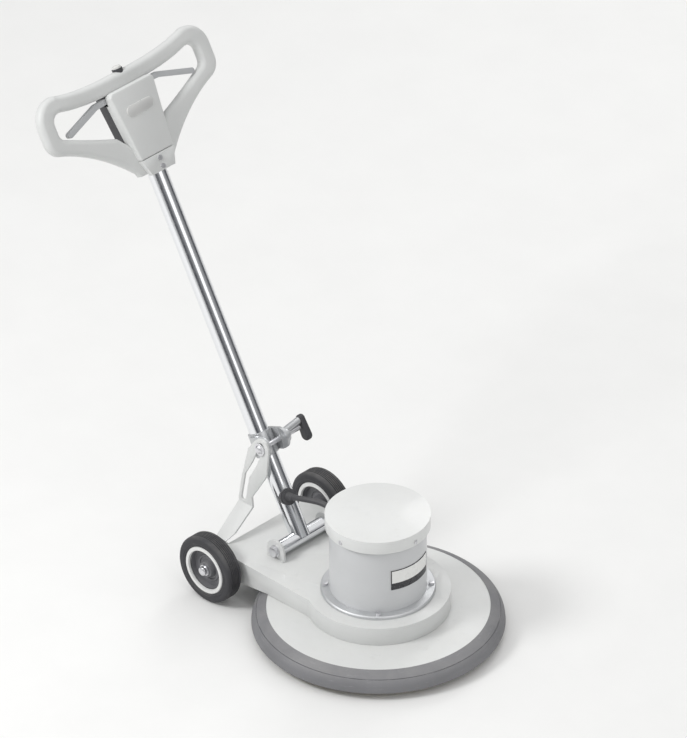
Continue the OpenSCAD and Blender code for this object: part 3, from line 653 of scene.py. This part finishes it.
def add_bumper():
    """Rubber bumper: sloped shoulder, a thin groove, then the bulging band that meets the skirting."""
    low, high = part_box("deck_bumper")
    outer, floor_gap, top = high.x, low.z, high.z
    inner = outer - 0.0147
    groove = (outer - 0.0102, top - 0.0122)
    band = bezier((outer, floor_gap + 0.003), (outer - 0.0004, top - 0.022), groove, 12)
    shoulder_foot = (groove[0] - 0.0012, groove[1] + 0.0011)
    shoulder = bezier(shoulder_foot, (outer - 0.021, top - 0.0045), (outer - 0.0332, top), 8)
    profile = (
        [(inner, floor_gap), (outer - 0.002, floor_gap), (outer - 0.0006, floor_gap + 0.0008)]
        + band
        + [(groove[0] - 0.0012, groove[1] - 0.0008)]
        + shoulder
        + [(outer - 0.0331, top - 0.0005), (outer - 0.0167, top - 0.0116), (inner, top - 0.0158)]
    )
    fit(make_piece("bumper_band", lathe(profile, 256)), "chassis", "bumper_rubber", "deck_bumper")


def add_pad():
    """Fibre pad with a slightly ragged edge and an uneven working face."""
    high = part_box("burnishing_pad")[1]
    radius, thick = high.x - 0.0012, high.z
    recess, recess_floor = 0.042, 0.005
    fray, unevenness = 0.0011, 0.0004
    rings = [radius * i / 21 for i in range(22)]
    edge = [(radius, thick * i / 6) for i in range(1, 6)]
    back = [(r, thick) for r in reversed(rings) if r > recess]
    socket = [(recess, thick), (recess, recess_floor), (0, recess_floor)]
    profile = [(r, 0.0) for r in rings] + edge + back + socket
    bm = lathe(profile, 256, closed=False)
    for vert in bm.verts:
        ragged = noise.noise(vert.co * 230)
        out = Vector((vert.co.x, vert.co.y, 0))
        if out.length > radius * 0.98:
            vert.co += out.normalized() * (fray * ragged)
        if vert.co.z < 0.001:
            vert.co.z += unevenness * (1 + ragged)
    pad = fit(make_piece("fibre_pad", bm, sharp=60), "rotor", "pad_fibre", "burnishing_pad")


def add_weld_beads():
    """Weld beads along the feet of the handle's ears."""
    low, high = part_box("pivot_ears")
    start, end = low.x + 0.002, high.x - 0.002
    steps = 60
    for side, name in ((-1, "weld_bead_right"), (1, "weld_bead_left")):
        y = side * (high.y + 0.0008)
        route = [Vector((start + (end - start) * i / steps, y, low.z + 0.0006)) for i in range(steps + 1)]
        radii = [
            0.0019 + 0.00035 * math.sin(i * 2.1) + 0.0002 * noise.noise(point * 400)
            for i, point in enumerate(route)
        ]
        fit(make_piece(name, tube(route, radii, 12)), "chassis", "pale_paint")


# ---------- wheels ----------


def add_wheels():
    """Tyre and dish of both wheels, each drawn about its own axle with its outer side up."""
    for side, name in ((-1, "right"), (1, "left")):
        hub = Vector(JOINTS["wheel_%s_spin" % name]["pos_m"])
        outward = Matrix.Translation(hub) @ Matrix.Rotation(math.radians(-90 * side), 4, "X")
        add_tyre(name, outward)
        add_dish(name, outward)


def add_tyre(name, place):
    """Solid tyre: circular tread grooves, rounded shoulders and raised rings on its sidewalls."""
    low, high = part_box("tyre_" + name)
    radius = (high.z - low.z) / 2
    half = (high.y - low.y) / 2
    bead = radius - 0.023
    shoulder, wall = 0.009, half - 0.0007
    centre_r, centre_h = radius - shoulder, wall - shoulder
    groove_pitch, floor_r = 0.0046, radius - 0.0016
    tread = []
    for groove in range(-2, 3):
        h = groove * groove_pitch
        tread += [(radius, h - 0.0011), (floor_r, h - 0.0007), (floor_r, h + 0.0007), (radius, h + 0.0011)]
    side = [(bead, wall - 0.0025), (bead + 0.003, wall), (bead + 0.0056, wall), (bead + 0.0062, half),
            (bead + 0.0076, half), (bead + 0.0082, wall)]
    lower = [(r, -h) for r, h in side]
    upper = list(reversed(side))
    profile = (
        lower
        + arc((centre_r, -centre_h), shoulder, -90, 0, 7)
        + tread
        + arc((centre_r, centre_h), shoulder, 0, 90, 7)
        + upper
    )
    piece = make_piece("tyre_%s.grooved" % name, lathe(profile, 144), place)
    fit(piece, "wheel_" + name, "tyre_rubber", "tyre_" + name)


def add_dish(name, place):
    """Pressed web with a stiffening bead, round a turned hub with a running bore."""
    low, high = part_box("wheel_dish_" + name)
    rim = (high.z - low.z) / 2
    bore = 0.00705
    web_r = rim - 0.0075
    inner_hub = [(bore, -0.022), (0.0172, -0.022), (0.0182, -0.0205), (0.0205, -0.0035)]
    inner_bead = arc((0.0285, -0.0035), 0.0024, 180, 0, 6)
    inner_web = [(web_r - 0.004, -0.0038), (web_r, -0.004), (rim - 0.0046, -0.0105), (rim - 0.0002, -0.0118)]
    outer_web = [(rim - 0.0002, 0.0118), (rim - 0.0046, 0.0118), (rim - 0.005, 0.0145), (web_r, 0.0032),
                 (0.034, 0.0034)]
    outer_bead = arc((0.0295, 0.0036), 0.0028, 0, 180, 8)
    outer_hub = [(0.0225, 0.0045), (0.0196, 0.0125), (0.0176, 0.0158), (bore, 0.016)]
    profile = inner_hub + inner_bead + inner_web + outer_web + outer_bead + outer_hub
    piece = make_piece("wheel_dish_%s.turned" % name, lathe(profile, 128), place)
    fit(piece, "wheel_" + name, "dish_paint", "wheel_dish_" + name)


# ---------- motor lead ----------

LEAD_RADIUS = 0.0064
# The lead's middle line, from inside the handle tube to inside the motor's gland
LEAD_ROUTE = [
    (-0.270, -0.0086, 0.2228), (-0.262, -0.0115, 0.2274), (-0.250, -0.014, 0.233), (-0.238, -0.0145, 0.2375),
    (-0.225, -0.0132, 0.241), (-0.211, -0.0106, 0.244), (-0.196, -0.0072, 0.2464), (-0.181, -0.0038, 0.248),
    (-0.166, -0.0013, 0.2486), (-0.150, 0, 0.2483), (-0.136, 0, 0.248), (-0.122, 0, 0.248),
    (-0.106, 0, 0.248),
]


def sleeve(name, route, body):
    """Ribbed strain relief, thick at its root and thin at its tip."""
    bands, smooth_tip, rib_height = 9, 0.95, 0.0007
    radii = []
    for i in range(len(route)):
        share = i / (len(route) - 1)
        rib = rib_height if int(share * bands) % 2 == 0 and share < smooth_tip else 0.0
        radii.append(LEAD_RADIUS + 0.0034 - 0.0029 * share + rib)
    fit(make_piece(name, tube(route, radii)), body, "lead_rubber")


def add_motor_lead():
    """Lead between the tube and the motor, as one fixed piece, with a ribbed sleeve on the handle and one on
    the chassis.
    """
    per_span = 10
    route = smooth_route(LEAD_ROUTE, per_span)
    bend_start, bend_end = 2 * per_span, -3 * per_span
    lead = make_piece("motor_lead.smooth", tube(route, [LEAD_RADIUS] * len(route)))
    lead.data.materials.append(MATERIALS["lead_rubber"])
    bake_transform(lead)
    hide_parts("motor_lead")

    tube_root, tube_tip = 6, bend_start + 4
    sleeve("lead_sleeve_tube", route[tube_root:tube_tip], "handle")
    gland_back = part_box("motor_gland")[0].x
    motor_root = next(i for i, point in enumerate(route) if point.x > gland_back + 0.002)
    motor_tip = motor_root - 26
    sleeve("lead_sleeve_motor", list(reversed(route[motor_tip:motor_root + 1])), "chassis")


# ---------- clamp ----------

KNOB_THICK = 0.016
KNOB_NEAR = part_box("clamp_lever")[1].y - KNOB_THICK
KNOB_SOFTNESS = 0.0052


def add_clamp_rod():
    """Steel rod on a boss: the CAD node, cut off just short of its knob."""
    bm = cad_copy("clamp_lever")
    geometry = list(bm.verts) + list(bm.edges) + list(bm.faces)
    cut_at = (0, KNOB_NEAR - 0.0003, 0)
    bmesh.ops.bisect_plane(bm, geom=geometry, plane_co=cut_at, plane_no=(0, 1, 0), clear_outer=True)
    bmesh.ops.holes_fill(bm, edges=[edge for edge in bm.edges if edge.is_boundary])
    rod = make_piece("clamp_rod", bm)
    round_edges(rod, 0.0008)
    fit(rod, "lever", "clamp_steel", "clamp_lever")


def add_clamp_knob():
    """Moulded paddle knob: a round lobe above the hub and a larger one below it, with soft rims."""
    hub = HANDLE.inverted() @ Vector(JOINTS["clamp_turn"]["pos_m"])
    half = KNOB_THICK / 2
    turns = [math.radians(t) for t in range(0, 91, 15)]
    layers = [
        (half - KNOB_SOFTNESS + KNOB_SOFTNESS * math.sin(t), KNOB_SOFTNESS - KNOB_SOFTNESS * math.cos(t))
        for t in turns
    ]
    layers = [(-out, inset) for out, inset in reversed(layers)] + layers
    rings = []
    for out, inset in layers:
        outline = arc((0, 0.016), 0.0097 - inset, 174, 6, 16) + arc((0, -0.023), 0.0127 - inset, 6, -186, 20)
        rings.append([(hub.x + x, KNOB_NEAR + half + out, hub.z + z) for x, z in outline])
    fit(make_piece("clamp_knob", loft(rings), HANDLE), "lever", "black_plastic", "clamp_lever")


# ---------- handle head ----------

# Heights run up the tube from its pivot; x = 0 is the middle of the tube
GRIP_TOP = 1.1185
GRIP_BAR = 0.0385
GRIP_HALF_THICK = 0.014
GRIP_ROUNDING = 0.0118
SEAT_RADIUS = 0.0124
CONSOLE_LOW = 0.919
CONSOLE_TOP = 1.084
CONSOLE_CHAMFER = 0.008
CONSOLE_ROUNDING = 0.0045
# Each shell's seam and its outer face, as x
CONSOLE_SHELLS = {"console_front": (0.0002, 0.028), "console_rear": (-0.0002, -0.030)}
# The slots that the squeeze bars come through
SLOT_HALF = 0.0075
SLOT_ENDS = (0.042, 0.104)
SLOT_HEIGHTS = (1.058, 1.09)


def grip_outlines():
    """The frame's outer outline and its inner one, as (y, z) points in the handle's frame."""
    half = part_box("grip_frame")[1].y
    reach = half - 0.067
    ys = [reach * i / 12 for i in range(13)]

    def rise(y):
        return 0.017 * (y / reach) ** 3

    # Each runs down the left half: grip bar, shoulder, side, then the limb that slopes in to the tube
    outer = (
        [(y, GRIP_TOP + rise(y)) for y in ys]
        + arc((half - 0.055, GRIP_TOP - 0.036), 0.055, 102, 0, 18)
        + arc((half - 0.040, GRIP_TOP - 0.072), 0.040, 0, -68, 12)
        + bezier((half - 0.031, GRIP_TOP - 0.111), (0.126, GRIP_TOP - 0.146), (0.046, GRIP_TOP - 0.235), 16)
    )
    inner = (
        [(y, GRIP_TOP - GRIP_BAR + rise(y)) for y in ys]
        + arc((half - 0.0615, GRIP_TOP - 0.042), 0.0205, 96, 0, 12)
        + arc((half - 0.0595, GRIP_TOP - 0.063), 0.0185, 0, -66, 10)
        + bezier((half - 0.058, GRIP_TOP - 0.0825), (0.130, GRIP_TOP - 0.113), (0.074, GRIP_TOP - 0.1325), 10)
        + [(0.048, GRIP_TOP - 0.162)]
    )
    return [left + [(-y, z) for y, z in reversed(left) if y > 0] for left in (outer, inner)]


def add_grip_frame():
    """Moulded grip frame with fully rounded limbs, drawn as a filled outline with a round bevel."""
    curve = bpy.data.curves.new("grip_outline", "CURVE")
    curve.dimensions = "2D"
    curve.fill_mode = "BOTH"
    for points in grip_outlines():
        spline = curve.splines.new("POLY")
        spline.points.add(len(points) - 1)
        for point, (y, z) in zip(spline.points, points):
            point.co = (y, z, 0, 1)
        spline.use_cyclic_u = True
    curve.bevel_depth = GRIP_ROUNDING
    curve.bevel_resolution = 6
    curve.offset = -GRIP_ROUNDING
    curve.extrude = GRIP_HALF_THICK - GRIP_ROUNDING
    outline = bpy.data.objects.new("grip_outline", curve)
    bpy.context.scene.collection.objects.link(outline)
    bm = bmesh.new()
    bm.from_mesh(baked_mesh(outline))
    bpy.data.objects.remove(outline)
    bmesh.ops.remove_doubles(bm, verts=bm.verts, dist=0.00002)
    upright = Matrix(((0, 0, 1, 0), (1, 0, 0, 0), (0, 1, 0, 0), (0, 0, 0, 1)))
    piece = make_piece("grip_frame.rounded", bm, HANDLE @ upright, sharp=50)
    foot, above = GRIP_TOP - 0.0181, GRIP_TOP + 0.03
    seat = lathe([(0, foot), (SEAT_RADIUS, foot), (SEAT_RADIUS, above), (0, above)], 48, closed=False)
    take_away(piece, make_piece("cutter", seat, HANDLE))
    fit(piece, "handle", "head_plastic", "grip_frame")


def add_bezel():
    """Narrow collar round the button, seated in the rounded grip bar."""
    bore, foot, lip = 0.0106, GRIP_TOP - 0.0178, GRIP_TOP + 0.005
    outer = SEAT_RADIUS - 0.00015
    lip_rounding = 0.0007
    profile = (
        [(0, foot), (outer, foot), (outer, lip - 0.0035)]
        + arc((outer - lip_rounding, lip - lip_rounding), lip_rounding, 0, 180, 6)
        + [(bore, lip - 0.0012), (bore, foot + 0.003), (0, foot + 0.003)]
    )
    collar = make_piece("button_collar", lathe(profile, 72, closed=False), HANDLE)
    fit(collar, "handle", "black_plastic", "button_bezel")


def console_outline():
    """Wider at the top than at its foot, with both top corners chamfered, as (y, z) points."""
    def half(z):
        return 0.048 + 0.019 * (z - CONSOLE_LOW) / (CONSOLE_TOP - CONSOLE_LOW)

    corner = CONSOLE_TOP - CONSOLE_CHAMFER
    left = [
        (half(CONSOLE_LOW), CONSOLE_LOW), (half(corner), corner),
        (half(CONSOLE_TOP) - CONSOLE_CHAMFER, CONSOLE_TOP),
    ]
    return left + [(-y, z) for y, z in reversed(left)]


def add_console():
    """The console's front and rear shells: rounded outside, with a slot each side for the squeeze bars."""
    low, high = SLOT_HEIGHTS
    for name, (seam, face) in CONSOLE_SHELLS.items():
        bm = prism(console_outline(), seam, face)
        soft = [edge for edge in bm.edges if max(abs(vert.co.x - seam) for vert in edge.verts) > 0.001]
        bmesh.ops.bevel(bm, geom=soft, offset=CONSOLE_ROUNDING, segments=5, affect="EDGES", profile=0.5)
        shell = make_piece(name + ".rounded", in_order(bm), HANDLE, sharp=50)
        for side in (-1, 1):
            right, left = sorted(side * y for y in SLOT_ENDS)
            cut(shell, (-SLOT_HALF, right, low), (SLOT_HALF, left, high), HANDLE)
        # Painted shade: the rear shell takes the black plastic slot from model.json, a dark shell put where
        # the console's side only lies in shade.
        fit(shell, "handle", NODE_SLOT[name], name)


# ---------- build ----------

# CAD nodes that only need their sharp edges rounded, and by how much
ROUNDED = {
    "chassis_platform": 0.0022, "pivot_ears": 0.0012, "stay_bracket": 0.0008, "motor_flange": 0.0012,
    "fan_cover": 0.0028, "clamp_bracket": 0.0012, "stay_bar": 0.0008, "console_collar": 0.0022,
    "console_badge": 0.0005, "trigger_right": 0.0026, "trigger_left": 0.0026, "pivot_bolt": 0.0005,
    "clamp_bolt": 0.0005, "flange_bolts": 0.0004, "supply_gland": 0.0006, "motor_gland": 0.0006,
}

add_camera()
add_studio()
add_floor()
paint_cad_nodes()
for node_name, edge_width in ROUNDED.items():
    add_rounded(node_name, edge_width)
add_bumper()
add_pad()
add_weld_beads()
add_wheels()
add_motor_lead()
add_clamp_rod()
add_clamp_knob()
add_grip_frame()
add_bezel()
add_console()
